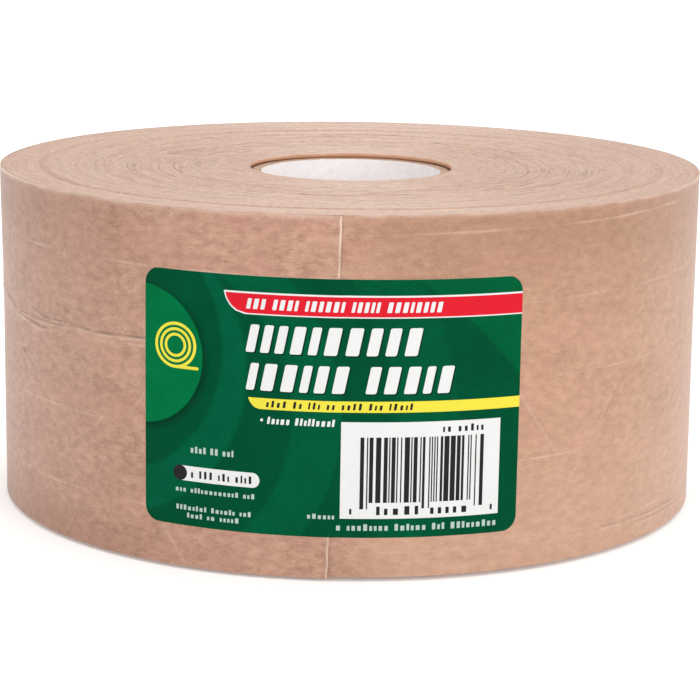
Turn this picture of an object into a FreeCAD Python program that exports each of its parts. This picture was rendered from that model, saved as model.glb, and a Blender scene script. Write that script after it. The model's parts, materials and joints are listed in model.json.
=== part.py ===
"""Roll of reinforced gummed paper packing tape on a spiral-wound paperboard core.

The roll lies on its side face, so its axis is +Z. The origin is on that axis, at the bottom.
The front, where the label is, faces -Y. Places round the roll are counted from the tape's cut
end, in degrees towards +X. Millimetres throughout.
"""
import FreeCAD
import Part
import math
import os

# The tape: one strip of two kraft papers with a yarn scrim laminated between them.
tape_width = 70.0
tape_length = 114300.0
tape_thickness = 0.139
face_paper_thickness = 0.05
scrim_thickness = 0.039

# The core, cut a little shorter than the tape is wide.
core_bore_radius = 19.05
core_recess = 1.0
liner_thickness = 0.3
ply_thickness = 0.6
ply_count = 4

# The wound turns: flat on the side near the core, then raised evenly towards the outside.
turn_groups = 4
flat_share = 0.35
rim_rise = 0.9
first_turn_gap = 5.0
wind_gap = 0.05

# The free end of the tape, which peels off the roll from a line a little before the label.
cut_end_arc = -2.5
peel_margin = 5.5
hinge_gap = 0.1

# Reinforcing yarns.
yarn_width = 0.5
yarn_pitch = 15.7
cross_yarn_pitch = 45.5
cross_yarn_angle = 55.0

# The label that holds the free end down: part of it is on the end, the tail is on the roll.
label_length = 75.0
label_height = 50.0
label_thickness = 0.12
label_corner_radius = 3.0
label_above_edge = 7.9
label_held_length = 38.0
lift_gap = 0.1

up = FreeCAD.Vector(0, 0, 1)
origin = FreeCAD.Vector(0, 0, 0)

free_end_length = label_held_length + peel_margin
core_radius = core_bore_radius + liner_thickness + ply_count * ply_thickness
roll_radius = math.sqrt(core_radius ** 2 + tape_length * tape_thickness / math.pi)
wound_start_radius = core_radius + tape_thickness
wound_radius = roll_radius - 2 * tape_thickness - wind_gap
flat_radius = wound_start_radius + flat_share * (wound_radius - wound_start_radius)


def angle_of(arc, radius=roll_radius):
    """Degrees round the roll for a distance along its outside."""
    return math.degrees(arc / radius)


def revolved(profile, start, end):
    """Turn a closed outline of (radius, height) points about the roll's axis."""
    points = [FreeCAD.Vector(radius, 0, height) for radius, height in profile]
    face = Part.Face(Part.makePolygon(points + points[:1]))
    solid = face.revolve(origin, up, end - start)
    solid.rotate(origin, up, start - 90.0)
    return solid


def tube(inner_radius, outer_radius, bottom, top):
    """Full ring standing on its end."""
    profile = [(inner_radius, bottom), (outer_radius, bottom), (outer_radius, top), (inner_radius, top)]
    return revolved(profile, 0.0, 360.0)


def rise(radius):
    """How far the turns at a radius stand above those next to the core."""
    share = (radius - flat_radius) / (roll_radius - flat_radius)
    return rim_rise * max(0.0, share)


def to_front(shape):
    """Turn a shape that was built with the cut end at the front to the cut end's real place."""
    shape.rotate(origin, up, angle_of(cut_end_arc))
    return shape


def turn_piece(inward, outward, start, end, bottom, height):
    """Stretch of the outermost turn, between two depths from its outer face.

    The turn winds inwards by its thickness in one round, drawn as two half circles whose
    centres lie a quarter of the thickness either side of the axis. A stretch stays in one half.
    """
    on_right = end > 0
    centre = FreeCAD.Vector(0, tape_thickness / 4 * (1 if on_right else -1), 0)
    outer_face = roll_radius - tape_thickness * (0.75 if on_right else 0.25)
    inner = outer_face - inward
    outer = outer_face + outward
    profile = [(inner, bottom), (outer, bottom), (outer, bottom + height), (inner, bottom + height)]
    piece = revolved(profile, start, end)
    piece.translate(centre)
    return piece


def round_corners(shape, at_angle):
    """Round the two corners of a label half at one of its ends."""
    corner_edges = []
    for edge in shape.Edges:
        middle = edge.CenterOfMass
        angle = math.degrees(math.atan2(middle.x, -middle.y))
        if edge.Length < 1.5 * label_thickness and abs(angle - at_angle) < 0.5:
            corner_edges.append(edge)
    return shape.makeFillet(label_corner_radius, corner_edges)


def core_pieces():
    """White liner and the chipboard plies wound over it."""
    bottom = core_recess
    top = tape_width - core_recess
    pieces = {"core_liner": tube(core_bore_radius, core_bore_radius + liner_thickness, bottom, top)}
    for number in range(ply_count):
        inner = core_bore_radius + liner_thickness + number * ply_thickness
        pieces[f"core_ply_{number + 1}"] = tube(inner, inner + ply_thickness, bottom, top)
    return pieces


def first_turn():
    """Where the strip starts, glued once round the core."""
    profile = [
        (core_radius, 0.0),
        (wound_start_radius, 0.0),
        (wound_start_radius, tape_width),
        (core_radius, tape_width),
    ]
    return revolved(profile, angle_of(first_turn_gap, core_radius), 360.0)


def wound_turns():
    """The strip between its first and last turns, in groups of turns from the core outwards."""
    step = (wound_radius - flat_radius) / (turn_groups - 1)
    edges = [wound_start_radius] + [flat_radius + step * number for number in range(turn_groups)]
    pieces = {}
    for number in range(turn_groups):
        inner = edges[number]
        outer = edges[number + 1]
        profile = [
            (inner, rise(inner)),
            (outer, rise(outer)),
            (outer, rise(outer) + tape_width),
            (inner, rise(inner) + tape_width),
        ]
        pieces[f"wound_turns_{number + 1}"] = revolved(profile, 0.0, 360.0)
    return pieces


def last_turn():
    """The outermost turn, from under the label's tail round the back to the peeling line."""
    peel_angle = -angle_of(free_end_length)
    right = turn_piece(tape_thickness, 0.0, 0.0, 180.0, rim_rise, tape_width)
    left = turn_piece(tape_thickness, 0.0, -180.0, peel_angle - angle_of(hinge_gap), rim_rise, tape_width)
    return to_front(right.fuse(left))


def end_layer(inward, outward):
    """One layer of the free end, between two depths from its outer face."""
    return turn_piece(inward, outward, -angle_of(free_end_length), 0.0, rim_rise, tape_width)


def yarn_slabs():
    """Flat slabs that the yarn layer is cut with: lengthwise yarns and two crossing families."""
    long_count = int(tape_width / yarn_pitch)
    first = rim_rise + (tape_width - (long_count - 1) * yarn_pitch) / 2
    reach = 2 * free_end_length + tape_width
    slabs = []
    for number in range(long_count):
        height = first + number * yarn_pitch
        corner = FreeCAD.Vector(-reach, -roll_radius - 10, height - yarn_width / 2)
        slabs.append(Part.makeBox(reach, roll_radius, yarn_width, corner))
    cross_count = int(free_end_length / cross_yarn_pitch) + 1
    for lean in (cross_yarn_angle, -cross_yarn_angle):
        for number in range(cross_count):
            offset = (number - (cross_count - 1) / 2) * cross_yarn_pitch
            corner = FreeCAD.Vector(-reach / 2, -roll_radius - 10, -yarn_width / 2)
            slab = Part.makeBox(reach, roll_radius, yarn_width, corner)
            slab.rotate(origin, FreeCAD.Vector(0, 1, 0), lean)
            slab.translate(FreeCAD.Vector(offset, 0, rim_rise + tape_width / 2))
            slab.rotate(origin, up, -angle_of(free_end_length) / 2)
            slabs.append(slab)
    return slabs


def end_scrim():
    """Lattice of reinforcing yarns between the two papers of the free end."""
    layer = end_layer(face_paper_thickness + scrim_thickness, -face_paper_thickness)
    slabs = yarn_slabs()
    return layer.common(slabs[0].multiFuse(slabs[1:])).removeSplitter()


def end_pieces():
    """The three layers of the free end."""
    back_start = face_paper_thickness + scrim_thickness
    return {
        "end_face_paper": to_front(end_layer(face_paper_thickness, 0.0)),
        "end_yarn_scrim": to_front(end_scrim()),
        "end_back_paper": to_front(end_layer(tape_thickness, -back_start)),
    }


def label_pieces():
    """The label in two halves that meet over the tape's cut end."""
    bottom = rim_rise + label_above_edge
    left = -angle_of(label_held_length)
    right = angle_of(label_length - label_held_length)
    held = turn_piece(0.0, label_thickness, left, 0.0, bottom, label_height)
    tail = turn_piece(-lift_gap, lift_gap + label_thickness, angle_of(hinge_gap), right, bottom, label_height)
    return {
        "label_held": to_front(round_corners(held, left)),
        "label_tail": to_front(round_corners(tail, right)),
    }


def main():
    """Write one file for each piece."""
    pieces = {}
    pieces.update(core_pieces())
    pieces["first_turn"] = first_turn()
    pieces.update(wound_turns())
    pieces["last_turn"] = last_turn()
    pieces.update(end_pieces())
    pieces.update(label_pieces())
    os.makedirs("parts", exist_ok=True)
    for name, shape in pieces.items():
        if shape.ShapeType == "Compound" and len(shape.Solids) == 1:
            shape = shape.Solids[0]
        shape.exportStep(f"parts/{name}.step")
        print(name, len(shape.Solids), round(shape.Volume, 2), shape.isValid())


main()
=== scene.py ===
"""Looks of a roll of reinforced gummed paper tape, with the label that holds down its free end."""
import json
import math
import random

import bmesh
import bpy
from mathutils import Matrix, Vector, noise


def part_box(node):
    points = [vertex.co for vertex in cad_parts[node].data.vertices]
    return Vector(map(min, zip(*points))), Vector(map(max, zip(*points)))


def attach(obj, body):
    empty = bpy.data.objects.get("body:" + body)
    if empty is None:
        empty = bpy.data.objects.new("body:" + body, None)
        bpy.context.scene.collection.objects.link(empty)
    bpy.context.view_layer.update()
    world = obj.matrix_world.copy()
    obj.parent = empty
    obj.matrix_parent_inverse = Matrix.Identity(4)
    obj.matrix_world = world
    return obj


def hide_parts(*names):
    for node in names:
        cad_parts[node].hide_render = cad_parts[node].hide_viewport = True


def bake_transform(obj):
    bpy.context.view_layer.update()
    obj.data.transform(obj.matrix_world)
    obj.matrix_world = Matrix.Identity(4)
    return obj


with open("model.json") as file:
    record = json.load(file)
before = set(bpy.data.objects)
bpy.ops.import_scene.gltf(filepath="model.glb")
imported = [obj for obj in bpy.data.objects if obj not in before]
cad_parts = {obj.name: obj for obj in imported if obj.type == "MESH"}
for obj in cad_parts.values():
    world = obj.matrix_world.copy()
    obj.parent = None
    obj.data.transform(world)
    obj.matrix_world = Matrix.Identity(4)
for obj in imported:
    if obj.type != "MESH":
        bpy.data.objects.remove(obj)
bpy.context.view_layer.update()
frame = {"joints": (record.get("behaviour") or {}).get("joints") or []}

mm = 0.001

# Sizes of the roll, in metres; all but the thickness of the tape come from the frame.
tape_thickness = 0.139 * mm
turn_low, turn_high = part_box("last_turn")
roll_radius = -turn_low.x + tape_thickness / 4
circumference = 2 * math.pi * roll_radius
tape_foot = turn_low.z
tape_width = turn_high.z - turn_low.z
bore_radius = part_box("core_liner")[1].x - 0.3 * mm
first_turn_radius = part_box("first_turn")[1].x
flat_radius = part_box("wound_turns_1")[1].x
core_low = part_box("core_liner")[0].z
core_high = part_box("core_liner")[1].z
joint_places = {joint["name"]: Vector(joint["pos_m"]) for joint in frame["joints"]}
cut_place = joint_places["label_peel"]
cut_angle = math.atan2(cut_place.x, -cut_place.y)
peel_place = joint_places["tape_end_peel"]
peel_arc = (math.atan2(peel_place.x, -peel_place.y) - cut_angle) * roll_radius

# The label, counted from the tape's cut end and up from the floor.
label_length = 75 * mm
label_height = 50 * mm
label_left = -38 * mm
label_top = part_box("label_held")[1].z
label_thickness = 0.1 * mm
label_turn = -0.005
label_slip = -0.5 * mm
print_slip = 0.4 * mm
ink_film = 0.008 * mm
cell_width = 1.25 * mm


# Camera, light and floor

def place_camera():
    """Long lens, a little above the roll and looking slightly down."""
    data = bpy.data.cameras.new("camera")
    data.lens = 125.74
    data.sensor_width = 36.0
    data.clip_start = 0.01
    data.clip_end = 20.0
    camera = bpy.data.objects.new("camera", data)
    bpy.context.scene.collection.objects.link(camera)
    place = Matrix.Translation((0, -522.7 * mm, 139.6 * mm + tape_foot))
    tilt = Matrix.Rotation(math.radians(90 - 11.98), 4, "X")
    roll = Matrix.Rotation(math.radians(0.716), 4, "Z")
    swing = Matrix.Rotation(math.radians(-0.035), 4, "Z")
    camera.matrix_world = place @ swing @ tilt @ roll
    bpy.context.scene.camera = camera


def soft_light(name, place, aim, size, power):
    """Square soft box pointing at a place."""
    data = bpy.data.lights.new(name, "AREA")
    data.shape = "SQUARE"
    data.size = size
    data.energy = power
    light = bpy.data.objects.new(name, data)
    bpy.context.scene.collection.objects.link(light)
    light.location = place
    light.rotation_euler = (Vector(aim) - Vector(place)).to_track_quat("-Z", "Y").to_euler()


def white_studio():
    """White surroundings, soft boxes above, behind and in front, and a plain white floor."""
    world = bpy.data.worlds.new("studio")
    world.use_nodes = True
    background = world.node_tree.nodes["Background"].inputs
    background["Color"].default_value = (1.0, 1.0, 1.0, 1.0)
    background["Strength"].default_value = 1.03
    bpy.context.scene.world = world
    bpy.context.scene.view_settings.view_transform = "Standard"
    soft_light("top_box", (0.1, -0.1, 1.1), (0, 0, 0), 1.0, 2.0)
    soft_light("back_box", (0.0, 0.36, 0.26), (0, 0.05, 0.07), 0.3, 0.16)
    soft_light("front_box", (0.6, -1.1, 0.5), (0, 0, 0.04), 0.8, 4.0)
    bpy.ops.mesh.primitive_plane_add(size=1.0)
    floor = bpy.context.object
    floor.name = "floor"
    bpy.ops.object.mode_set(mode="EDIT")
    bpy.ops.transform.resize(value=(8, 8, 1))
    bpy.ops.object.mode_set(mode="OBJECT")
    floor.data.materials.append(floor_material())


# Shader helpers

def socket(value, tree, target):
    """Join a node's output to an input, or set the input to a plain value."""
    if isinstance(value, bpy.types.NodeSocket):
        tree.links.new(value, target)
    else:
        target.default_value = value


def add_node(tree, kind, inputs=None, **settings):
    """New node with its settings and inputs; inputs are given by name or by number."""
    node = tree.nodes.new(kind)
    for name, value in settings.items():
        setattr(node, name, value)
    for name, value in (inputs or {}).items():
        socket(value, tree, node.inputs[name])
    return node


def calc(tree, operation, first, second=0.0, third=0.0):
    """Arithmetic on values."""
    node = add_node(tree, "ShaderNodeMath", {0: first, 1: second, 2: third}, operation=operation)
    return node.outputs[0]


def times(tree, *values):
    """Product of values."""
    product = values[0]
    for value in values[1:]:
        product = calc(tree, "MULTIPLY", product, value)
    return product


def vector_calc(tree, operation, first, second=(0, 0, 0)):
    """Arithmetic on vectors."""
    node = add_node(tree, "ShaderNodeVectorMath", {0: first, 1: second}, operation=operation)
    return node.outputs["Value" if operation in ("LENGTH", "DISTANCE") else "Vector"]


def remap(tree, value, low, high, new_low=0.0, new_high=1.0, smooth=False):
    """A value between low and high, stretched to a new range and held at its ends."""
    inputs = {"Value": value, "From Min": low, "From Max": high, "To Min": new_low, "To Max": new_high}
    kind = "SMOOTHSTEP" if smooth else "LINEAR"
    return add_node(tree, "ShaderNodeMapRange", inputs, interpolation_type=kind).outputs["Result"]


def mix_colour(tree, share, first, second, blend="MIX"):
    """Mix of two colours."""
    node = add_node(tree, "ShaderNodeMix", data_type="RGBA", blend_type=blend, clamp_factor=True)
    socket(share, tree, node.inputs["Factor"])
    socket(first, tree, node.inputs[6])
    socket(second, tree, node.inputs[7])
    return node.outputs[2]


def lay_over(tree, colour, coats):
    """A colour with others laid over it in turn, each by its share."""
    for share, coat in coats:
        colour = mix_colour(tree, share, colour, coat)
    return colour


def noise_value(tree, place, scale=1.0, detail=2.0, rough=0.5):
    """Cloudy value about 0.5."""
    inputs = {"Vector": place, "Scale": scale, "Detail": detail, "Roughness": rough}
    return add_node(tree, "ShaderNodeTexNoise", inputs).outputs["Fac"]


def stretch(tree, place, x, y, z):
    """A place with each of its coordinates scaled."""
    return vector_calc(tree, "MULTIPLY", place, (x, y, z))


def split(tree, place):
    """The three coordinates of a place."""
    return add_node(tree, "ShaderNodeSeparateXYZ", {0: place}).outputs


def layers(tree, start, parts):
    """Tone built up from noise values, each held between its two ends and weighed by its share."""
    tone = start
    for value, low, high, share in parts:
        tone = calc(tree, "MULTIPLY_ADD", remap(tree, value, low, high), share, tone)
    return tone


def make_group(name, inputs, outputs, build):
    """Shader group; build(tree, inputs) returns the values of its outputs."""
    tree = bpy.data.node_groups.new(name, "ShaderNodeTree")
    kinds = {"value": "NodeSocketFloat", "colour": "NodeSocketColor", "place": "NodeSocketVector"}
    for label, kind, start in inputs:
        made = tree.interface.new_socket(label, in_out="INPUT", socket_type=kinds[kind])
        if start is not None:
            made.default_value = start
    for label, kind in outputs:
        tree.interface.new_socket(label, in_out="OUTPUT", socket_type=kinds[kind])
    entry = tree.nodes.new("NodeGroupInput")
    leave = tree.nodes.new("NodeGroupOutput")
    for label, value in build(tree, entry.outputs).items():
        tree.links.new(value, leave.inputs[label])
    return tree


def use_group(tree, group, inputs):
    """Place a group in a material."""
    node = tree.nodes.new("ShaderNodeGroup")
    node.node_tree = group
    for label, value in inputs.items():
        socket(value, tree, node.inputs[label])
    return node.outputs


def new_material(name, roughness, specular):
    """Material with its shader; returns the material, its tree and the shader's inputs."""
    material = bpy.data.materials.new(name)
    material.use_nodes = True
    tree = material.node_tree
    shader = tree.nodes["Principled BSDF"].inputs
    shader["Roughness"].default_value = roughness
    shader["Specular IOR Level"].default_value = specular
    return material, tree, shader


def bump(tree, shader, height, distance):
    """Surface relief from a height value; distance is the height of 1, in metres."""
    node = add_node(tree, "ShaderNodeBump", {"Height": height, "Distance": distance, "Strength": 1.0})
    tree.links.new(node.outputs["Normal"], shader["Normal"])


def attribute(tree, name, output="Fac"):
    """What an attribute of the piece holds at a place."""
    return add_node(tree, "ShaderNodeAttribute", attribute_name=name).outputs[output]


def flat_place(tree):
    """Place on the flat sheet that a piece was rolled from, in millimetres."""
    return attribute(tree, "flat", "Vector")


def object_place(tree):
    """Place on the piece, in millimetres."""
    place = add_node(tree, "ShaderNodeTexCoord").outputs["Object"]
    return vector_calc(tree, "MULTIPLY", place, (1000, 1000, 1000))


def rgb(red, green, blue):
    """Colour from its values as seen on a screen, 0 to 255."""
    def linear(value):
        value = value / 255
        return value / 12.92 if value < 0.04045 else ((value + 0.055) / 1.055) ** 2.4
    return (linear(red), linear(green), linear(blue), 1.0)


# Shared effects

def paper_effect():
    """Kraft paper: clouds, pressed fibres that run along the sheet, and fine flecks."""
    def build(tree, given):
        place = given["Place"]
        clouds = noise_value(tree, stretch(tree, place, 0.07, 0.13, 0.1), detail=3.0)
        blotches = noise_value(tree, stretch(tree, place, 0.4, 0.64, 0.5), detail=3.0, rough=0.5)
        fibres = noise_value(tree, stretch(tree, place, 0.55, 4.5, 4.5), detail=3.0, rough=0.6)
        grit = noise_value(tree, stretch(tree, place, 4.0, 5.0, 5.0), detail=2.0)
        grain = noise_value(tree, stretch(tree, place, 1.2, 1.8, 1.5), detail=3.0, rough=0.6)
        tone = layers(tree, -0.24, ((clouds, 0.3, 0.7, 0.26), (blotches, 0.32, 0.68, 0.44),
                                    (fibres, 0.3, 0.7, 0.28), (grain, 0.3, 0.7, 0.3),
                                    (grit, 0.3, 0.7, 0.2)))
        drift = noise_value(tree, stretch(tree, place, 0.09, 0.12, 0.1), detail=2.0)
        spots = remap(tree, noise_value(tree, stretch(tree, place, 1.6, 2.6, 2.0), detail=1.0), 0.70, 0.76)
        relief = calc(tree, "MULTIPLY_ADD", fibres, 0.6, times(tree, grit, 0.4))
        return {"Tone": tone, "Flecks": spots, "Relief": relief, "Drift": remap(tree, drift, 0.4, 0.65)}
    return make_group("paper_fibres", [("Place", "place", None)],
                      [(name, "value") for name in ("Tone", "Flecks", "Relief", "Drift")], build)


def ink_effect():
    """Printed ink: slight unevenness over the paper's grain."""
    def build(tree, given):
        grain = noise_value(tree, stretch(tree, given["Place"], 2.2, 2.2, 2.2), detail=4.0, rough=0.65)
        clouds = noise_value(tree, stretch(tree, given["Place"], 0.15, 0.15, 0.15), detail=2.0)
        tone = layers(tree, -0.5, ((clouds, 0.3, 0.7, 0.4), (grain, 0.3, 0.7, 0.6)))
        unevenness = calc(tree, "MULTIPLY_ADD", tone, given["Amount"], 1.0)
        colour = mix_colour(tree, 1.0, given["Colour"], unevenness, blend="MULTIPLY")
        return {"Colour": colour, "Grain": grain}
    inputs = [("Place", "place", None), ("Colour", "colour", (1, 1, 1, 1)), ("Amount", "value", 0.1)]
    return make_group("ink_on_paper", inputs, [("Colour", "colour"), ("Grain", "value")], build)


def tone_and_light_effect():
    """Uneven tone of the outer turns over their height: a duller stretch and a warmer one, with painted shade
    near the top and at the foot of the free end, and painted light on the lower part past the cut.
    """
    def build(tree, given):
        along, height, _ = split(tree, given["Place"])
        around = circumference / mm
        past_cut = times(tree, remap(tree, along, 0, 12), remap(tree, along, 135, 110))
        free_half = times(tree, remap(tree, along, around - 135, around - 110),
                          remap(tree, along, around - 25, around - 60))
        high = remap(tree, height, 44, 71, smooth=True)
        low = remap(tree, height, 38, 6, smooth=True)
        foot = remap(tree, height, 12, 1, smooth=True)
        # Painted shade: darker near the top on both sides of the cut, and at the foot of the free end.
        painted_shade = times(tree, past_cut, high, 0.33)
        painted_shade = calc(tree, "MULTIPLY_ADD", free_half, times(tree, high, 0.24), painted_shade)
        painted_shade = calc(tree, "MULTIPLY_ADD", free_half, times(tree, foot, 0.34), painted_shade)
        # Painted light: paler on the lower part past the cut.
        return {"Duller": times(tree, free_half, 0.09), "Warmer": times(tree, past_cut, 0.25),
                "Darker": painted_shade, "Paler": times(tree, past_cut, low, 0.15)}
    return make_group("tone_and_painted_light", [("Place", "place", None)],
                      [(name, "value") for name in ("Duller", "Darker", "Paler", "Warmer")], build)


paper_fibres = paper_effect()
tone_and_painted_light = tone_and_light_effect()
ink_on_paper = ink_effect()


def paper_material(name, dark, light, roughness=0.8, relief=0.02 * mm, place_of=flat_place, pale=None,
                   shadow=None, drift=None, specular=0.3, sheen=0.0):
    """Paper between two tones; pale and shadow are the tones of what the crest and fold attributes mark,
    painted highlights and painted shade among them.
    """
    material, tree, shader = new_material(name, roughness, specular)
    found = use_group(tree, paper_fibres, {"Place": place_of(tree)})
    colour = mix_colour(tree, found["Tone"], dark, light)
    fleck = tuple(value * 0.6 for value in dark[:3]) + (1.0,)
    coats = [(times(tree, found["Drift"], 0.3), drift)] if drift else []
    coats.append((times(tree, found["Flecks"], 0.25), fleck))
    if pale:
        tone_and_light = use_group(tree, tone_and_painted_light, {"Place": flat_place(tree)})
        # Painted shade and painted light by height, laid over the duller and warmer tones.
        coats += [(tone_and_light["Warmer"], rgb(184, 142, 104)), (tone_and_light["Duller"], rgb(112, 96, 88)),
                  (tone_and_light["Darker"], rgb(122, 76, 46)), (tone_and_light["Paler"], rgb(222, 186, 164)),
                  (attribute(tree, "crest"), pale)]
    # The fold marks: painted shade in the fold lines, and a dark fleck.
    if shadow:
        coats.append((attribute(tree, "fold"), shadow))
    tree.links.new(lay_over(tree, colour, coats), shader["Base Color"])
    bump(tree, shader, found["Relief"], relief)
    shader["Sheen Weight"].default_value = sheen
    return material


def turn_edge_material():
    """Side faces of the wound tape: mottled cut edges of many turns, with painted shade in short gaps between
    them.
    """
    material, tree, shader = new_material("turn_edges", 0.6, 0.5)
    place = object_place(tree)
    radial = vector_calc(tree, "LENGTH", stretch(tree, place, 1, 1, 0))
    sway = noise_value(tree, stretch(tree, place, 0.11, 0.11, 0.11), detail=1.0)
    radial = calc(tree, "MULTIPLY_ADD", sway, 2.4, radial)
    side, front, _ = split(tree, vector_calc(tree, "NORMALIZE", stretch(tree, place, 1, 1, 0)))
    def rings(fine, round_share, detail):
        place_on_ring = {0: times(tree, radial, fine), 1: times(tree, side, round_share),
                         2: times(tree, front, round_share)}
        ring_place = add_node(tree, "ShaderNodeCombineXYZ", place_on_ring)
        return noise_value(tree, ring_place.outputs[0], detail=detail, rough=0.6)
    lines = rings(2.6, 5.0, 3.0)
    bands = rings(0.35, 0.8, 2.0)
    mottle = noise_value(tree, stretch(tree, place, 0.75, 0.75, 0.75), detail=3.0, rough=0.65)
    speckle = noise_value(tree, stretch(tree, place, 2.2, 2.2, 2.2), detail=3.0, rough=0.7)
    tone = layers(tree, -0.1, ((lines, 0.3, 0.7, 0.34), (bands, 0.3, 0.7, 0.12),
                               (mottle, 0.3, 0.7, 0.44), (speckle, 0.3, 0.7, 0.3)))
    colour = mix_colour(tree, tone, rgb(158, 118, 97), rgb(216, 184, 164))
    loose = times(tree, remap(tree, radial, 26, 36), remap(tree, radial, 66, 50))
    loose = calc(tree, "MULTIPLY_ADD", loose, 0.42, 0.1)
    # Painted shade in the gaps between turns, most where the turns lie loose.
    gap_shade = remap(tree, rings(2.1, 3.2, 2.0), 0.34, 0.42, 1.0, 0.0)
    colour = mix_colour(tree, times(tree, gap_shade, loose), colour, rgb(112, 78, 62))
    tree.links.new(colour, shader["Base Color"])
    shader["Anisotropic"].default_value = 0.8
    shader["Sheen Weight"].default_value = 0.12
    shader["Sheen Roughness"].default_value = 0.3
    tangent = add_node(tree, "ShaderNodeTangent", direction_type="RADIAL", axis="Z")
    tree.links.new(tangent.outputs["Tangent"], shader["Tangent"])
    bump(tree, shader, calc(tree, "ADD", lines, mottle), 0.1 * mm)
    return material


def first_turn_wall_material():
    """Bare inside of the first turn above the core: pale at its edge, with painted shade along its foot."""
    material, tree, shader = new_material("first_turn_inside", 0.6, 0.3)
    place = object_place(tree)
    found = use_group(tree, paper_fibres, {"Place": place})
    _, far_side, height = split(tree, place)
    foot = core_high / mm
    edge = remap(tree, height, foot + 0.25, foot + 0.95)
    patches = noise_value(tree, stretch(tree, place, 0.25, 0.25, 0.9), detail=2.0)
    # Painted shade in the corner at the wall's foot, weaker at the back.
    foot_shade = times(tree, remap(tree, height, foot + 0.2, foot + 0.45, 1.0, 0.0),
                 remap(tree, far_side, 12, 21, 0.9, 0.55))
    colour = lay_over(tree, rgb(202, 148, 114), (
        (edge, rgb(238, 196, 166)), (times(tree, found["Tone"], 0.35), rgb(164, 112, 84)),
        (remap(tree, patches, 0.45, 0.7, 0.0, 0.5), rgb(200, 134, 96)), (foot_shade, rgb(96, 62, 46))))
    tree.links.new(colour, shader["Base Color"])
    bump(tree, shader, found["Relief"], 0.01 * mm)
    return material


def print_ink(tree, shader, colour, amount):
    """Ink of one colour or of several, as it lies on the label's paper."""
    found = use_group(tree, ink_on_paper, {"Place": flat_place(tree), "Colour": colour, "Amount": amount})
    tree.links.new(found["Colour"], shader["Base Color"])
    bump(tree, shader, found["Grain"], 0.004 * mm)


def ink_material(name, colour, amount=0.12):
    """One printed ink."""
    material, tree, shader = new_material(name, 0.5, 0.03)
    print_ink(tree, shader, colour, amount)
    return material


def label_ground_material():
    """The label's printed ground: a light half disc on its left edge, and broad arcs in two greens."""
    material, tree, shader = new_material("label_ground", 0.42, 0.02)
    corner = ((label_left + print_slip) / mm, label_top / mm, 0)
    local = stretch(tree, vector_calc(tree, "SUBTRACT", flat_place(tree), corner), 1, -1, 0)
    def inside(centre_x, centre_y, radius, soft=0.15):
        away = vector_calc(tree, "DISTANCE", local, (centre_x, centre_y, 0))
        return remap(tree, away, radius - soft, radius + soft, 1.0, 0.0, smooth=True)
    def outside(*circle):
        return calc(tree, "SUBTRACT", 1.0, inside(*circle))
    near_arc = times(tree, inside(-9.0, 19.0, 30.2, 0.6), outside(-10.0, 15.0, 26.3, 0.6), 0.8)
    middle_arc = times(tree, inside(0.0, 27.0, 39.4, 0.5), outside(-2.0, 27.0, 32.0, 0.5))
    lower_arc = times(tree, inside(2.0, 30.0, 60.0, 0.7), outside(1.0, 29.0, 49.0, 0.7), 0.7)
    far_arc = outside(-8.0, 88.0, 107.5, 0.5)
    disc_shadow = times(tree, inside(-1.0, 17.4, 13.9, 1.5), 0.8)
    half_disc = inside(-1.5, 16.9, 13.7)
    ground = lay_over(tree, rgb(0, 70, 43), (
        (near_arc, rgb(0, 85, 56)), (middle_arc, rgb(0, 80, 50)), (lower_arc, rgb(0, 79, 48)),
        (far_arc, rgb(0, 83, 47)), (disc_shadow, rgb(2, 34, 22)), (half_disc, rgb(0, 102, 57))))
    print_ink(tree, shader, ground, 0.4)
    return material


def floor_material():
    """Plain white studio floor."""
    material, tree, shader = new_material("studio_floor", 0.9, 0.2)
    haze = noise_value(tree, object_place(tree), scale=0.002, detail=1.0)
    colour = mix_colour(tree, haze, (0.93, 0.93, 0.93, 1), (0.97, 0.97, 0.97, 1))
    tree.links.new(colour, shader["Base Color"])
    shader["Emission Color"].default_value = (1.0, 1.0, 1.0, 1.0)
    shader["Emission Strength"].default_value = 0.15
    return material


# Modelling helpers

def deselect():
    """Nothing selected, in object mode."""
    bpy.ops.object.select_all(action="DESELECT")


def pick(piece):
    """Only this piece selected, and active."""
    deselect()
    bpy.context.view_layer.objects.active = piece
    piece.select_set(True)


def start_edit(piece):
    """Edit mode on one piece, with all of it selected."""
    pick(piece)
    bpy.ops.object.mode_set(mode="EDIT")
    bpy.ops.mesh.select_all(action="SELECT")


def name_added(name):
    """Name the primitive that was just added, and go into edit mode on it."""
    piece = bpy.context.object
    piece.name = name
    piece.data.name = name
    bpy.ops.object.mode_set(mode="EDIT")
    return piece


def begin(name, x, y, width, height, columns=1, rows=1):
    """Start a flat piece in the XY plane with a grid, and stay in edit mode with it selected."""
    deselect()
    bpy.ops.mesh.primitive_grid_add(x_subdivisions=columns, y_subdivisions=rows, size=1.0)
    piece = name_added(name)
    bpy.ops.transform.resize(value=(width, height, 1))
    bpy.ops.transform.translate(value=(x + width / 2, y + height / 2, 0))
    return piece


def finish_edit():
    """Back to object mode."""
    bpy.ops.object.mode_set(mode="OBJECT")


def cut_across(piece, axis, places):
    """Cut a piece in planes across one axis, so that it has corners there to bend or move by."""
    start_edit(piece)
    normal = [float(number == axis) for number in range(3)]
    for place in places:
        bpy.ops.mesh.select_all(action="SELECT")
        bpy.ops.mesh.bisect(plane_co=[place * part for part in normal], plane_no=normal)
    finish_edit()


def trim(piece, point, normal):
    """Cut away what lies beyond a plane."""
    start_edit(piece)
    bpy.ops.mesh.bisect(plane_co=point, plane_no=normal, clear_outer=True)
    finish_edit()


def apply_modifier(piece, kind, **settings):
    """Add a modifier with its settings and apply it."""
    pick(piece)
    modifier = piece.modifiers.new(kind.lower(), kind)
    for name, value in settings.items():
        setattr(modifier, name, value)
    bpy.ops.object.modifier_apply(modifier=modifier.name)


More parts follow.
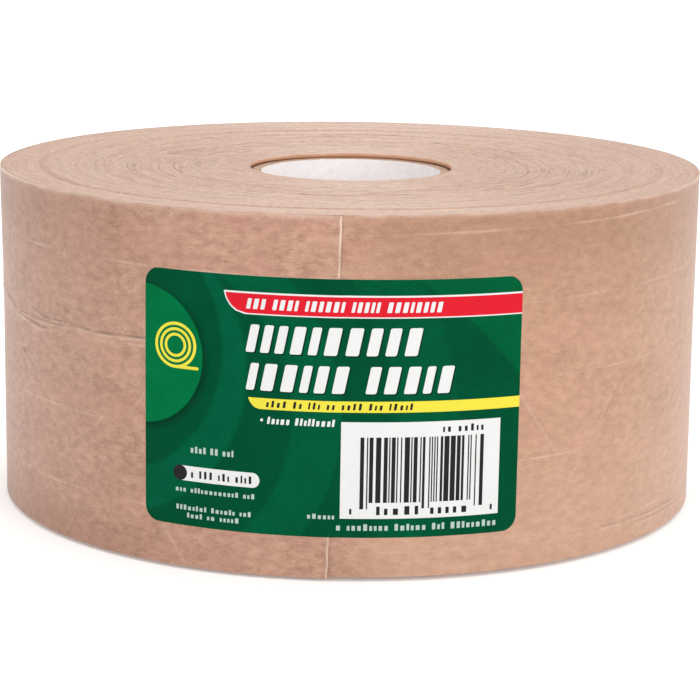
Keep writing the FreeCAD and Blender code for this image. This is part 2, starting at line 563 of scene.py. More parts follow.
def shade(piece, angle=40.0):
    """Smooth shading that keeps sharp corners."""
    pick(piece)
    bpy.ops.object.shade_smooth_by_angle(angle=math.radians(angle))


def join(name, pieces):
    """Make one piece of several."""
    deselect()
    for piece in pieces:
        piece.select_set(True)
    bpy.context.view_layer.objects.active = pieces[0]
    bpy.ops.object.join()
    pieces[0].name = name
    pieces[0].data.name = name
    return pieces[0]


def mark_flat(piece, start=0.0):
    """Keep each corner's place on the flat sheet, in millimetres, for the materials."""
    attribute = piece.data.attributes.new("flat", "FLOAT_VECTOR", "POINT")
    for index, vertex in enumerate(piece.data.vertices):
        attribute.data[index].vector = (vertex.co + Vector((start, 0, 0))) / mm


def smooth_step(low, high, value):
    """0 at low, 1 at high and an even curve between."""
    share = min(1.0, max(0.0, (value - low) / (high - low)))
    return share * share * (3 - 2 * share)


# How the strip lies on the roll

bulge_place = -105 * mm
bulge_spread = 26 * mm
bulge_out = 0.35 * mm

# Folds of the outer turns: strength, and the line's places along the tape and up it, in mm.
creases = (
    (1.0, ((-112, 46.8), (-94.9, 45.6), (-87.2, 44.5), (-82.1, 43.4), (-76, 42.9), (-70.3, 42.3),
           (-62, 43.6))),
    (0.5, ((-84, 43.7), (-78, 43.9), (-70, 43.8), (-64, 44), (-57, 44.4))),
    (0.9, ((-79, 46.8), (-74.4, 45.6), (-68.7, 44.7), (-62, 44.9), (-58.5, 44.9), (-52, 44.5), (-33, 45.2))),
    (0.35, ((-62, 45.4), (-60, 45.3), (-56, 44.9), (-52, 44.5))),
    (0.45, ((48, 6), (60, 5.8), (75, 5.5), (97, 5.2), (122, 5))),
    (0.3, ((64, 4.7), (80, 4.3), (97, 4.1), (120, 4))),
)


def crease_near(x, y):
    """Strength of the nearest fold of the outer turns, and how far above it a place is, in mm."""
    found = (0.0, 99.0)
    for strength, line in creases:
        if not line[0][0] * mm < x < line[-1][0] * mm:
            continue
        for (left, left_height), (right, right_height) in zip(line, line[1:]):
            if x <= right * mm:
                share = (x / mm - left) / (right - left)
                away = y / mm - (left_height + share * (right_height - left_height))
                break
        along = (x / mm - line[0][0]) / (line[-1][0] - line[0][0])
        fade = strength * smooth_step(0.0, 0.2, along) * smooth_step(0.0, 0.2, 1 - along)
        if abs(away) < abs(found[1]):
            found = (fade, away)
    return found


def crease_depth(x, y):
    """How far the folds stand out at a place, in metres: narrow valleys with raised lips."""
    strength, away = crease_near(x, y)
    valley = -0.24 * math.exp(-(away / 0.4) ** 2)
    lips = 0.12 * math.exp(-((away + 0.3) / 1.5) ** 2)
    return (valley + lips) * strength * mm


def ripple(x, y):
    """How far the outer turns stand out: slow waves, flared rims, and a bulge left of the label."""
    angle = x / roll_radius
    around = Vector((math.sin(angle), math.cos(angle), 0)) * roll_radius
    wave = 0.09 * mm * noise.noise(around / 0.034 + Vector((0, 0, y / 0.026)))
    rim = max(0.0, abs(y - tape_foot - tape_width / 2) / (tape_width / 2) - 0.93) / 0.07
    flare = 0.08 * mm * rim * rim * (0.6 + noise.noise(around / 0.021 + Vector((0, 0, y / 0.05))))
    from_bulge = (x - bulge_place + circumference / 2) % circumference - circumference / 2
    bulge = bulge_out * math.exp(-(from_bulge / bulge_spread) ** 2) * smooth_step(40 * mm, 70 * mm, y)
    return wave + flare + bulge


def strip_shift(x, ply):
    """How far up the strip has wandered: the free end sits a little lower than the turn below it."""
    return -0.22 * mm * math.exp(-(x / 0.05) ** 2) if ply == 0 else 0.0


def wind(x, y, out, ply):
    """Where a place on the flat strip lies on the roll.

    x runs along the tape from its cut end, y is the height, out is the distance from the paper's
    face, and ply is 0 on the last turn and 1 on the turn below it.
    """
    angle = cut_angle + x / roll_radius
    radius = roll_radius + tape_thickness * (x / circumference - ply) + out + ripple(x, y)
    return Vector((radius * math.sin(angle), -radius * math.cos(angle), y))


def roll_up(piece, ply_at, start=0.0, shift=True, folds=False):
    """Wind a flat piece onto the roll; ply_at(x, y) gives the turn that it lies on there."""
    if "flat" not in piece.data.attributes:
        mark_flat(piece, start)
    for vertex in piece.data.vertices:
        x, y, out = vertex.co
        ply = ply_at(x, y)
        if folds and (x < 0) == (ply < 0.5):
            out += crease_depth(x, y)
        lift = strip_shift(x, round(ply)) if shift else 0.0
        vertex.co = wind(x, y + lift, out, ply)
    piece.data.update()


def label_ply(x, y):
    """The label steps down from the free end to the turn below just past the cut."""
    return smooth_step(0.2 * mm, 1.8 * mm, x - cut_line(y))


# The strip: last turn, free end and the yarns that show through the paper

cut_lean = 2.2 * mm
free_start = -circumference / 2
under_start = -98 * mm
yarn_width = 1.1 * mm
row_boldness = 0.8
diagonal_boldness = 0.42
yarn_drift = 0.0175


def cut_line(y):
    """Where the cut end lies at a height: it leans, and it is slightly ragged."""
    height = (y - tape_foot) / tape_width - 0.5
    ragged = 0.13 * mm * noise.noise(Vector((y / 0.0025, 0.4, 8.8)))
    return cut_lean * height + ragged + 0.12 * mm * noise.noise(Vector((y / 0.009, 5.5, 0)))


def cut_edge(x, y):
    """Place of a corner of the free end, whose last stretch is drawn out or in to the cut line."""
    return x + smooth_step(-16 * mm, -1.5 * mm, x) * cut_line(y)


def lift_at_cut(x, y):
    """The cut end curls a little off the roll, except where the label presses it down."""
    under_label = smooth_step(0.0, 2 * mm, label_top + 2.4 * mm - y)
    under_label *= smooth_step(0.0, 2 * mm, y - (label_top - label_height) + 2.4 * mm)
    curl = 0.3 * mm * smooth_step(-3.2 * mm, 0.0, x - cut_line(y)) ** 1.5
    return curl * (1 - under_label) * (0.8 + 0.5 * noise.noise(Vector((2.5, y / 0.006, 0))))


def strip_piece(name, start, end, columns, rows, ply):
    """Stretch of the strip with its own thickness, wound onto the roll."""
    piece = begin(name, start, tape_foot, end - start, tape_width, columns, rows)
    finish_edit()
    first_row, count = (41.5 * mm, 36) if ply == 0 else (3.4 * mm, 18)
    cut_across(piece, 1, [first_row + number * 0.16 * mm for number in range(count)])
    if ply == 0:
        at_cut = [-value * mm for value in (0.15, 0.35, 0.5, 0.7, 0.95, 1.9, 2.4, 3.2)]
        at_speck = [-(77 + number * 0.5) * mm for number in range(9)]
        cut_across(piece, 0, at_cut + at_speck)
        for vertex in piece.data.vertices:
            vertex.co.x = cut_edge(vertex.co.x, vertex.co.y)
    mark_painted_light_and_cut(piece, ply)
    for material in (kraft, gummed, cut_paper):
        piece.data.materials.append(material)
    apply_modifier(piece, "SOLIDIFY", thickness=tape_thickness * 0.9, offset=-1,
                   material_offset=1, material_offset_rim=2)
    if ply == 0:
        for vertex in piece.data.vertices:
            vertex.co.z += lift_at_cut(vertex.co.x, vertex.co.y)
    roll_up(piece, lambda x, y: ply, start=circumference * (1 - ply), folds=True)
    shade(piece)
    return piece


def mark_painted_light_and_cut(piece, ply):
    """Mark on a flat stretch of strip the painted highlights on the top rim and on the fold lips, the painted
    shade in the fold lines, and the paler fibres at the cut and a dark fleck.
    """
    crest = piece.data.attributes.new("crest", "FLOAT", "POINT")
    fold = piece.data.attributes.new("fold", "FLOAT", "POINT")
    for index, vertex in enumerate(piece.data.vertices):
        x, y, _ = vertex.co
        up = (y - tape_foot) / tape_width
        patchy = 0.6 + 0.7 * noise.noise(Vector((x / 0.005, y / 0.005, 6.1)))
        # Painted highlight along the top rim.
        pale = 0.55 * patchy * math.exp(-((1 - up) * tape_width / (0.5 * mm)) ** 2)
        strength, away = crease_near(x, y) if (x < 0) == (ply == 0) else (0.0, 99.0)
        unevenness = 0.7 + 0.6 * noise.noise(Vector((x / 0.004, 2.2, 4.4)))
        # Painted highlight on the lip below each fold.
        pale = max(pale, 0.45 * strength * unevenness * math.exp(-((away + 0.5) / 0.3) ** 2))
        # Painted shade in each fold line.
        shadow_line = 0.8 * math.exp(-(away / 0.2) ** 2) + 0.16 * math.exp(-((away - 0.7) / 0.9) ** 2)
        dark = strength * unevenness * shadow_line
        if ply == 0:
            # Paler cut fibres along the cut end, and a dark fleck of the paper.
            to_cut = (cut_line(y) - x) / mm
            frayed = 0.55 + 0.55 * noise.noise(Vector((1.1, y / 0.005, 0)))
            pale = max(pale, frayed * smooth_step(0.52, 0.32, to_cut))
            speck = ((x / mm + 79) / 1.1) ** 2 + ((y / mm - 36.1) / 0.45) ** 2
            dark = max(dark, 0.75 * math.exp(-speck))
        fold.data[index].value = dark
        crest.data[index].value = min(1.0, max(0.0, pale))


def yarn_ridge(from_x, from_y, to_x, to_y, seed, boldness):
    """Low ridge where a yarn shows through the paper, drawn flat from one place to another."""
    length = math.hypot(to_x - from_x, to_y - from_y)
    turn = math.atan2(to_y - from_y, to_x - from_x)
    columns = max(6, int(length / (2.2 * mm)))
    ridge = begin("yarn", -length / 2, -yarn_width / 2, length, yarn_width, columns, 4)
    finish_edit()
    crest = ridge.data.attributes.new("crest", "FLOAT", "POINT")
    for index, vertex in enumerate(ridge.data.vertices):
        across = 1 - abs(vertex.co.y) / (yarn_width / 2)
        strength = 0.35 + 1.3 * noise.noise(Vector((vertex.co.x / 0.007, seed * 3.3, 1.5)))
        strength = boldness * min(1.0, max(0.1, strength))
        vertex.co.y += 0.12 * mm * noise.noise(Vector((vertex.co.x / 0.011, seed * 7.1, 0)))
        vertex.co.z = -0.02 * mm + across * (0.025 + 0.03 * strength) * mm
        crest.data[index].value = across * strength * 0.38
    centre = Matrix.Translation(((from_x + to_x) / 2, (from_y + to_y) / 2, 0))
    ridge.data.transform(centre @ Matrix.Rotation(turn, 4, "Z"))
    return ridge


def yarn_ridges(name, start, end, ply, slope, heights, falling, rising):
    """The yarns that show on a stretch of the strip: rows along it at heights over its foot and two
    sets of diagonals, by where they cross its middle; all of these places are in mm.
    """
    foot, top = tape_foot, tape_foot + tape_width
    reach = 0.5 * tape_width / math.tan(math.radians(55))
    routes = []
    for number, height in enumerate(heights):
        middle = height * mm + foot
        routes.append((start, middle + slope * start, end, middle + slope * end, number, row_boldness))
    for seed, places, from_y, to_y in ((20, falling, top, foot), (40, rising, foot, top)):
        routes += [(x * mm - reach, from_y, x * mm + reach, to_y, seed + number, diagonal_boldness)
                   for number, x in enumerate(places)]
    piece = join(name, [yarn_ridge(*route) for route in routes])
    for vertex in piece.data.vertices:
        vertex.co.y -= yarn_drift * max(0.0, under_start - vertex.co.x) if ply == 0 else 0.0
    margin = 0.15 * mm
    trim(piece, (0, top - margin, 0), (0, 1, 0))
    trim(piece, (0, foot + margin, 0), (0, -1, 0))
    trim(piece, (end, 0, 0), (1, 0, 0))
    trim(piece, (start, 0, 0), (-1, 0, 0))
    if ply == 0:
        for vertex in piece.data.vertices:
            vertex.co.x = cut_edge(vertex.co.x, vertex.co.y) - 0.02 * mm
            vertex.co.z += lift_at_cut(vertex.co.x, vertex.co.y)
    piece.data.materials.append(kraft_yarn)
    apply_modifier(piece, "SOLIDIFY", thickness=0.02 * mm, offset=-1)
    roll_up(piece, lambda x, y: ply, start=circumference * (1 - ply), folds=True)
    shade(piece, 80)
    return piece


def make_strip():
    """Last turn and free end, with the yarns that show through."""
    free_end = strip_piece("free_end", free_start, 0.0, 166, 140, 0)
    under_turn = strip_piece("last_turn_start", under_start, circumference / 2, 236, 100, 1)
    free_yarns = yarn_ridges("free_end_yarns", free_start, -0.05 * mm, 0, 0.0, (11.0, 26.7, 42.5, 58.3),
                             (-8.7, -53.8, -99.5, -145.0, -190.0), (-37.7, -72.0, -118.0, -163.5, -209.0))
    under_yarns = yarn_ridges("last_turn_yarns", under_start, circumference / 2, 1, 0.018,
                              (4.6, 20.8, 36.6, 51.6, 66.0), (36.3, 83.5, 129.0, 174.0, 219.0, -54.0),
                              (15.2, 62.3, 108.0, 153.5, 199.0, -32.0))
    bend_start = wind(peel_arc - 16 * mm, 0, 0, 0)
    bend_end = wind(peel_arc + 5 * mm, 0, 0, 0)
    for piece in (free_end, free_yarns):
        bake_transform(piece)
    for piece in (under_turn, under_yarns):
        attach(piece, "roll")
    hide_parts("end_face_paper", "end_back_paper")
    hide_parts("end_yarn_scrim")
    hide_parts("last_turn")


# Wound turns and core

def turn_heights(inner, outer, spacing, seed, share=1.0):
    """Height of each turn above the even face, as a function of radius: bands, single turns, gaps."""
    draw = random.Random(seed)
    heights = []
    band = 0.0
    for _ in range(int((outer - inner) / spacing) + 1):
        if draw.random() < 0.09:
            band = draw.uniform(-0.10, 0.10)
        height = band + draw.uniform(-0.035, 0.035)
        if draw.random() < 0.035:
            height -= draw.uniform(0.08, 0.22)
        heights.append(share * height * mm)
    return lambda radius: heights[min(len(heights) - 1, max(0, int((radius - inner) / spacing + 0.5)))]


def rise_of(radius):
    """Even rise of the turns towards the rim, the same as the frame's."""
    return tape_foot * max(0.0, (radius - flat_radius) / (roll_radius - flat_radius))


def looseness(radius):
    """How unevenly the turns lie at a radius: most in the middle of the roll, least at its rim."""
    middle = smooth_step(24 * mm, 34 * mm, radius) * smooth_step(68 * mm, 48 * mm, radius)
    return (0.5 + middle) * smooth_step(0.0, 2.0 * mm, min(radius - first_turn_radius, roll_radius - radius))


def fix_to_roll(piece, node):
    """Let a piece go with the roll, in place of one of its nodes."""
    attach(piece, "roll")
    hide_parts(node)


def push_out(vertex, radius, distance):
    """Move a corner that lies at a radius further from the roll's axis."""
    vertex.co.x *= 1 + distance / radius
    vertex.co.y *= 1 + distance / radius


def ring_section(name, inner, outer, low_of, high_of, cuts, height_at):
    """Section of a ring, with each turn's edge at its own height; stays in edit mode."""
    deselect()
    bpy.ops.mesh.primitive_plane_add(size=1.0)
    piece = name_added(name)
    bpy.ops.mesh.select_mode(type="EDGE")
    bpy.ops.transform.resize(value=(outer - inner, 1, 1))
    bpy.ops.transform.translate(value=((inner + outer) / 2, 0, 0))
    bpy.ops.mesh.delete(type="ONLY_FACE")
    bpy.ops.mesh.select_all(action="DESELECT")
    mesh = bmesh.from_edit_mesh(piece.data)
    for edge in mesh.edges:
        if abs(edge.verts[0].co.y - edge.verts[1].co.y) < 0.5:
            edge.select_set(True)
    bmesh.update_edit_mesh(piece.data)
    bpy.ops.mesh.subdivide(number_cuts=cuts)
    mesh = bmesh.from_edit_mesh(piece.data)
    for vertex in mesh.verts:
        radius = vertex.co.x
        step = height_at(radius)
        if vertex.co.y > 0:
            vertex.co.z = high_of(radius) + step
        else:
            vertex.co.z = max(low_of(radius) + step * 0.5, low_of(inner))
        vertex.co.y = 0.0
    bmesh.update_edit_mesh(piece.data)
    return piece


def loosen_turns(piece, half):
    """Shift the edges of the turns a little out of round, and those above half height up or down."""
    for vertex in piece.data.vertices:
        x, y, z = vertex.co
        radius = math.hypot(x, y)
        around = Vector((x / radius * 6, y / radius * 6, radius / 0.0011))
        loose = looseness(radius)
        vertex.co.z += loose * 0.08 * mm * noise.noise(around) * (1 if z > half else 0)
        swing = 0.26 * mm * loose * noise.noise(Vector((x / radius * 7, y / radius * 7, radius / 0.004)))
        push_out(vertex, radius, swing)


def ring_piece(name, inner, outer, low_of, high_of, cuts, segments, height_at, material, wall=None):
    """Ring of turns spun from its section; its upright faces may have a finish of their own."""
    piece = ring_section(name, inner, outer, low_of, high_of, cuts, height_at)
    bpy.ops.mesh.select_all(action="SELECT")
    bpy.ops.mesh.spin(steps=segments, angle=2 * math.pi, center=(0, 0, 0), axis=(0, 0, 1))
    bpy.ops.mesh.select_all(action="SELECT")
    bpy.ops.mesh.remove_doubles(threshold=0.002 * mm)
    bpy.ops.mesh.normals_make_consistent(inside=False)
    finish_edit()
    loosen_turns(piece, (high_of(inner) + low_of(inner)) / 2)
    piece.data.materials.append(material)
    if wall:
        piece.data.materials.append(wall)
        for face in piece.data.polygons:
            radius = face.center.xy.length
            from_wall = min(abs(radius - inner), abs(radius - outer))
            if abs(face.normal.z) < 0.3 and from_wall < 0.1 * mm:
                face.material_index = 1
    shade(piece, 50)
    return piece


def fit_under_last_turn(ring, outer):
    """Swell the outermost turns so that they lie close under the last turn all the way round."""
    gap = 0.03 * mm
    cut_across(ring, 2, [height * mm for height in (3.3, 12, 22, 32, 42, 50, 56, 62, 68.5)])
    for vertex in ring.data.vertices:
        radius = vertex.co.xy.length
        angle = math.atan2(vertex.co.x, -vertex.co.y) - cut_angle
        x = ((angle + math.pi) % (2 * math.pi) - math.pi) * roll_radius
        ply = smooth_step(under_start - 4 * mm, under_start - 2 * mm, x)
        inside = roll_radius + tape_thickness * (x / circumference - ply - 0.9) + ripple(x, vertex.co.z)
        share = smooth_step(outer - 9 * mm, outer - 0.4 * mm, radius)
        push_out(vertex, radius, (inside - gap - outer) * share)


def make_wound_turns():
    """The wound strip in its groups of turns, and its first turn on the core."""
    spacing = 0.21 * mm
    inner = first_turn_radius
    uneven = turn_heights(inner, roll_radius, spacing, 101)
    near_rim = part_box("wound_turns_4")[1].x - 0.7 * mm
    def high_face(radius):
        return rise_of(radius) + tape_width
    def height_at(radius):
        return uneven(radius) - 0.06 * mm * smooth_step(near_rim, near_rim + 0.3 * mm, radius)
    for number in range(1, 5):
        node = f"wound_turns_{number}"
        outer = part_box(node)[1].x
        count = int((outer - inner) / spacing)
        ring = ring_piece(node + "_wound", inner, outer, rise_of, high_face, count, 256, height_at,
                          turn_edges, kraft)
        if number == 4:
            fit_under_last_turn(ring, outer)
        fix_to_roll(ring, node)
        inner = outer
    first = ring_piece("first_turn_glued", first_turn_radius - tape_thickness,
                       first_turn_radius - 0.005 * mm, rise_of, high_face, 2, 256, uneven,
                       turn_edges, inner_wall)
    fix_to_roll(first, "first_turn")


def make_core():
    """Chipboard plies and the white liner of the core."""
    ply_thickness = 0.6 * mm
    for number in range(1, 5):
        node = f"core_ply_{number}"
        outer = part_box(node)[1].x
        inner = outer - ply_thickness
        uneven = turn_heights(inner, outer, 0.12 * mm, 300 + number, share=0.5)
        # The outermost ply is dark all over: painted shade in the corner between the core and the first turn.
        board = shaded_board if number == 4 else chipboard
        ply = ring_piece(node + "_board", inner + 0.01 * mm, outer, lambda radius: core_low,
                         lambda radius: core_high, 5, 192, uneven, board)
        fix_to_roll(ply, node)
    fix_to_roll(liner_piece(), "core_liner")


def liner_piece():
    """White paper strip wound in a helix inside the core, each turn lapping the one before."""
    turn_length = 2 * math.pi * bore_radius
    climb = 46 * mm
    strip_angle = math.atan2(climb, turn_length)
    strip_width = climb * math.cos(strip_angle) + 2.5 * mm
    length = 345 * mm
    piece = begin("core_liner_strip", -length / 2, 0.0, length, strip_width, 380, 36)
    finish_edit()
    for vertex in piece.data.vertices:
        vertex.co.z = -0.08 * mm * smooth_step(strip_width - 3.2 * mm, strip_width - 2.2 * mm, vertex.co.y)
    piece.data.materials.append(white_liner)
    apply_modifier(piece, "SOLIDIFY", thickness=0.1 * mm, offset=-1)
    mark_flat(piece)
    middle = (core_low + core_high) / 2
    for vertex in piece.data.vertices:
        x, y, out = vertex.co
        y -= strip_width / 2
        around = x * math.cos(strip_angle) - y * math.sin(strip_angle)
        up = x * math.sin(strip_angle) + y * math.cos(strip_angle)
        radius = bore_radius + 0.12 * mm - out
        angle = around / bore_radius
        vertex.co = Vector((radius * math.sin(angle), radius * math.cos(angle), middle + up))
    trim(piece, (0, 0, core_high), (0, 0, 1))
    trim(piece, (0, 0, core_low), (0, 0, -1))
    bpy.ops.object.mode_set(mode="EDIT")
    bpy.ops.mesh.select_all(action="DESELECT")
    bpy.ops.mesh.select_non_manifold(extend=False)
    bpy.ops.mesh.fill()
    bpy.ops.mesh.select_all(action="SELECT")
    bpy.ops.mesh.normals_make_consistent(inside=False)
    finish_edit()
    shade(piece)
    return piece


# The label and its print, drawn flat and then wound on

def cut_in_cells(piece):
    """Cut a flat piece into the label's cells, twice as high as they are wide, and closer at its fold."""
    columns = [label_left + number * cell_width for number in range(61)]
    rows = [label_top - label_height + number * (2 * cell_width) for number in range(21)]
    near_fold = [number * 0.3 * mm for number in range(-2, 19)]
    cuts = ((0, columns, 0.01 * cell_width), (1, rows, 0.02 * cell_width), (0, near_fold, 0.0))
    for axis, places, margin in cuts:
        corners = [vertex.co[axis] for vertex in piece.data.vertices]
        low = min(corners) + margin
        high = max(corners) - min(margin, 0.01 * mm)
        cut_across(piece, axis, [place for place in places if low < place < high])


def block(name, left, top, right, bottom, corner=0.0, lean=0.0, segments=4):
    """Flat shape on the label with rounded corners; places are from the label's upper left corner, in mm."""
    width = (right - left) * mm
    height = (bottom - top) * mm
    piece = begin(name, label_left + left * mm, label_top - bottom * mm, width, height)
    if corner:
        bpy.ops.mesh.select_all(action="SELECT")
        bpy.ops.mesh.bevel(offset=corner * mm, segments=segments, affect="VERTICES")
    finish_edit()
    middle = label_top - (top + bottom) / 2 * mm
    for vertex in piece.data.vertices:
        vertex.co.x += lean * (vertex.co.y - middle)
    return piece


def greeked_line(name, left, top, right, bottom, words, lean=0.0, seed=1, capitals=False, fill=0.6):
    """A line of print as plain blocks, one for each letter, grouped in words; it spells nothing."""
    draw = random.Random(seed)
    height = bottom - top
    letters = []
    for word, count in enumerate(words):
        if word:
            letters.append((0.0, 0.55))
        letters += [(1.0, draw.choice((0.55, 0.7, 0.8))) for _ in range(count)]
    scale = (right - left) / sum(width for _, width in letters)
    blocks = []
    x = left
    for solid, width in letters:
        if solid:
            crown = top if capitals else top + height * draw.choice((0.0, 0.26, 0.26))
            margin = (1 - fill) / 2 * width * scale
            blocks.append(block(name, x + margin, crown, x + width * scale - margin, bottom,
                                corner=min(0.06 * height, 0.2 * fill * width * scale), lean=lean, segments=2))
        x += width * scale
    return blocks


def greeked_lines(seed, fill, lines):
    """Several lines of upright small print, each with the next seed."""
    blocks = []
    for number, (left, top, right, bottom, words) in enumerate(lines):
        blocks += greeked_line("line", left, top, right, bottom, words, seed=seed + number, fill=fill)
    return blocks


def heading_lines(shift):
    """The two headings, moved right and down by a shift in mm for their shadow."""
    blocks = []
    for seed, left, top, right, bottom, words in ((2, 20.9, 9.25, 54.9, 14.6, (10,)),
                                                  (3, 21.0, 16.65, 61.2, 21.9, (6, 5))):
        blocks += greeked_line("heading", left + shift, top + shift, right + shift, bottom + shift, words,
                               lean=0.2, seed=seed, capitals=True, fill=0.62)
    return blocks


def print_piece(name, shapes, material, layer):
    """Shapes printed in one ink, as a thin film on the label."""
    piece = join(name, shapes)
    cut_in_cells(piece)
    for vertex in piece.data.vertices:
        vertex.co.z = label_thickness + ink_film * (1 + layer)
    piece.data.materials.append(material)
    apply_modifier(piece, "SOLIDIFY", thickness=ink_film * 0.9, offset=1)
    finish_label_piece(piece, print_slip)


def finish_label_piece(piece, slip=0.0):
    """Wind a piece of the label on, a little askew, with its fold line at the tape's cut end."""
    mark_flat(piece)
    middle = Vector((label_left + label_length / 2, label_top - label_height / 2, 0))
    askew = Matrix.Translation((label_slip + slip, 0, 0)) @ Matrix.Translation(middle)
    piece.data.transform(askew @ Matrix.Rotation(label_turn, 4, "Z") @ Matrix.Translation(-middle))
    roll_up(piece, label_ply, shift=False)
    shade(piece)
    fold_start = wind(0.1 * mm, 0, 0, 0)
    fold_end = wind(5 * mm, 0, 0, 0)
    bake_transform(piece)
    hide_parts("label_held", "label_tail")


def barcode_bars(left, top, right, bottom, deep):
    """Made-up bars and spaces; the two at each end and in the middle reach lower."""
    draw = random.Random(41)
    bars = []
    count = 27
    widths = [(draw.choice((1, 1, 2, 3, 4)), draw.choice((1, 1, 2, 3))) for _ in range(count)]
    scale = (right - left) / sum(bar + space for bar, space in widths)
    x = left
    for number, (bar, space) in enumerate(widths):
        long_bar = number in (0, 1, count // 2, count // 2 + 1, count - 2, count - 1)
        bars.append(block("bar", x, top, x + bar * scale, deep if long_bar else bottom))
        x += (bar + space) * scale
    return bars


def disc(name, centre_x, centre_y, radius, hole=0.0):
    """Round shape or ring on the label, in the label's own millimetres."""
    deselect()
    bpy.ops.mesh.primitive_circle_add(vertices=48, radius=radius * mm, fill_type="NGON")
    piece = name_added(name)
    if hole:
        bpy.ops.mesh.select_all(action="SELECT")
        bpy.ops.mesh.inset(thickness=(radius - hole) * mm)
        bpy.ops.mesh.delete(type="FACE")
    bpy.ops.mesh.select_all(action="SELECT")
    bpy.ops.transform.translate(value=(label_left + centre_x * mm, label_top - centre_y * mm, 0))
    finish_edit()
    return piece


def round_left_end(piece, sweep):
    """Sweep the lower left corner of a banner inwards in a curve."""
    heights = [vertex.co.y for vertex in piece.data.vertices]
    low, high = min(heights), max(heights)
    cut_across(piece, 1, [low + (high - low) * step / 8 for step in range(1, 8)])
    left = min(vertex.co.x for vertex in piece.data.vertices)
    for vertex in piece.data.vertices:
        if vertex.co.x < left + 0.01 * mm:
            share = (high - vertex.co.y) / (high - low)
            vertex.co.x += sweep * mm * (1 - math.sqrt(max(0.0, 1 - share * share))) + 0.6 * mm * share


def make_label():
    """The label's paper, with its printed ground."""
    ground = block("label", 0, 0, label_length / mm, label_height / mm, corner=3.0, segments=8)
    cut_in_cells(ground)
    ground.data.materials.append(label_ground)
    ground.data.materials.append(label_back)
    apply_modifier(ground, "SOLIDIFY", thickness=label_thickness, offset=1,
                   material_offset=1, material_offset_rim=1)
    finish_label_piece(ground)


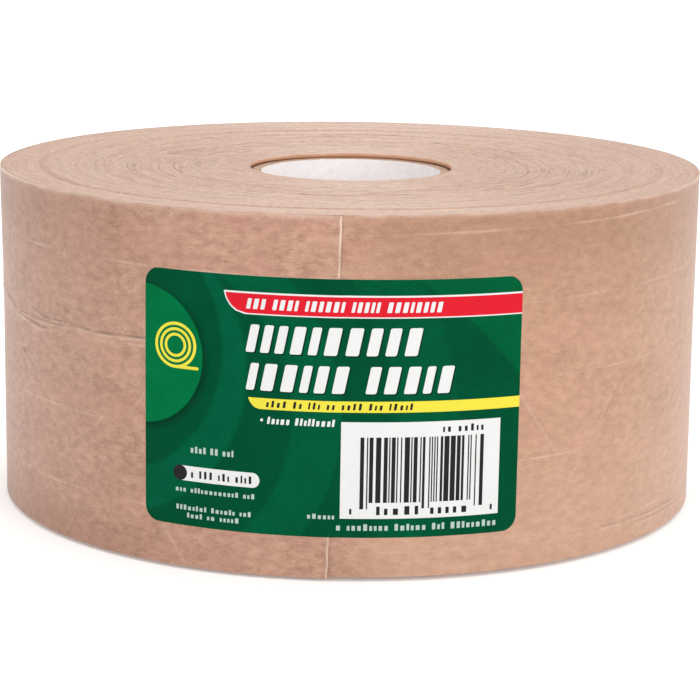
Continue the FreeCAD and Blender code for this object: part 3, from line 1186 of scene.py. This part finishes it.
def make_prints():
    """The label's banner, stripe, greeked lines, plain roll sign and made-up bar code, ink by ink."""
    print_right = (label_length - print_slip) / mm
    banner_edge = block("banner", 16.5, 3.05, print_right, 7.38)
    banner = block("banner", 16.85, 3.4, print_right, 7.15)
    for piece in (banner_edge, banner):
        round_left_end(piece, 3.6)
    stripe = block("stripe", 21.5, 23.35, print_right, 25.5)
    round_left_end(stripe, 1.6)
    box = block("bar_code_ground", 39.4, 27.35, 70.6, 46.25)
    pill = block("pill", 6.0, 38.1, 23.9, 41.05, corner=1.46, segments=8)
    headings = heading_lines(0.0)
    headings += greeked_line("line", 25.2, 26.9, 38.3, 28.3, (5, 9), lean=0.15, seed=4)
    headings.append(disc("dot", 24.2, 27.6, 0.28))
    small_lines = greeked_lines(5, 0.6, (
        (9.6, 34.1, 18.8, 35.4, (4, 2, 3)), (6.35, 42.3, 23.1, 43.3, (3, 12, 3)),
        (6.5, 45.9, 22.4, 46.9, (8, 6, 3)), (8.9, 47.4, 20.0, 48.4, (4, 2, 5)),
        (33.0, 45.4, 38.5, 46.4, (6,)), (38.5, 47.3, 70.4, 48.6, (1, 8, 6, 3, 9))))
    banner_words = greeked_line("line", 20.9, 4.3, 58.5, 6.3, (3, 4, 6, 5, 8), 0.2, 11, capitals=True)
    roll_sign = [disc("sign", 6.4, 14.6, outer, hole=outer - width)
                 for outer, width in ((4.5, 0.6), (3.4, 0.55), (2.35, 0.55))]
    roll_sign.append(block("sign", 6.4, 18.5, 11.4, 19.1, corner=0.25))
    stripe_words = greeked_line("line", 24.8, 23.75, 53.2, 25.05, (4, 2, 3, 2, 4, 3, 5), 0.15, 12, fill=0.45)
    pill_mark = disc("dot", 7.5, 39.57, 1.5)
    digits = greeked_lines(13, 0.45, (
        (9.6, 38.85, 22.6, 40.35, (1, 3, 3, 4)), (58.7, 28.1, 67.4, 29.5, (2, 5)),
        (45.9, 43.8, 64.6, 45.5, (5, 5)), (40.9, 43.9, 41.9, 45.4, (1,)), (68.6, 43.9, 69.6, 45.4, (1,))))
    bars = barcode_bars(43.1, 30.3, 67.5, 43.1, 44.35)
    print_piece("label_print_shadow", heading_lines(0.25), dark_green_ink, 0)
    print_piece("label_print_white", [banner_edge, box, pill] + headings, white_ink, 1)
    print_piece("label_print_small_lines", small_lines, soft_white_ink, 1)
    print_piece("label_print_red", [banner], red_ink, 2)
    print_piece("label_print_yellow", [stripe] + roll_sign, yellow_ink, 1)
    print_piece("label_print_banner_words", banner_words, white_ink, 3)
    print_piece("label_print_black", stripe_words + [pill_mark] + bars + digits, black_ink, 2)


# Finishes of this roll

# Pale: painted highlights on the top rim and fold lips, and paler cut fibres; shadow: painted shade in the
# folds, and a dark fleck. Both also take painted shade and painted light by height.
kraft = paper_material("kraft_paper", rgb(136, 95, 72), rgb(196, 153, 129), 0.5, pale=rgb(226, 200, 184),
                       shadow=rgb(78, 50, 38), drift=rgb(182, 130, 114), specular=0.5, sheen=0.14)
# Pale marks the yarn crests; painted shade and painted light by height as on the kraft.
kraft_yarn = paper_material("kraft_over_yarn", rgb(141, 100, 77), rgb(196, 153, 129), 0.5,
                            pale=rgb(214, 184, 166), specular=0.5, sheen=0.14)
gummed = paper_material("gummed_side", rgb(150, 108, 80), rgb(184, 140, 110), 0.35, 0.008 * mm, specular=0.5)
inner_wall = first_turn_wall_material()
cut_paper = paper_material("cut_edge_paper", rgb(214, 188, 172), rgb(240, 222, 210))
label_back = paper_material("label_back_paper", rgb(206, 206, 202), rgb(224, 224, 220), 0.6)
chipboard = paper_material("chipboard", rgb(160, 128, 106), rgb(196, 164, 142), 0.8, 0.05 * mm, object_place)
# Painted shade: dark chipboard for the outermost ply, where the corner by the first turn lies in shade.
shaded_board = paper_material("chipboard_painted_shade", rgb(92, 60, 44), rgb(124, 84, 64), 0.7, 0.05 * mm,
                             object_place)
white_liner = paper_material("core_liner_paper", rgb(238, 231, 230), rgb(253, 249, 248), 0.7)
turn_edges = turn_edge_material()
label_ground = label_ground_material()
white_ink = ink_material("white_ink", rgb(214, 214, 213), 0.08)
soft_white_ink = ink_material("soft_white_ink", rgb(168, 186, 178), 0.2)
red_ink = ink_material("red_ink", rgb(203, 30, 44), 0.16)
yellow_ink = ink_material("yellow_ink", rgb(218, 205, 66), 0.1)
black_ink = ink_material("black_ink", rgb(38, 36, 38), 0.2)
dark_green_ink = ink_material("dark_green_ink", rgb(3, 42, 28))

place_camera()
white_studio()
make_wound_turns()
make_core()
make_strip()
make_label()
make_prints()
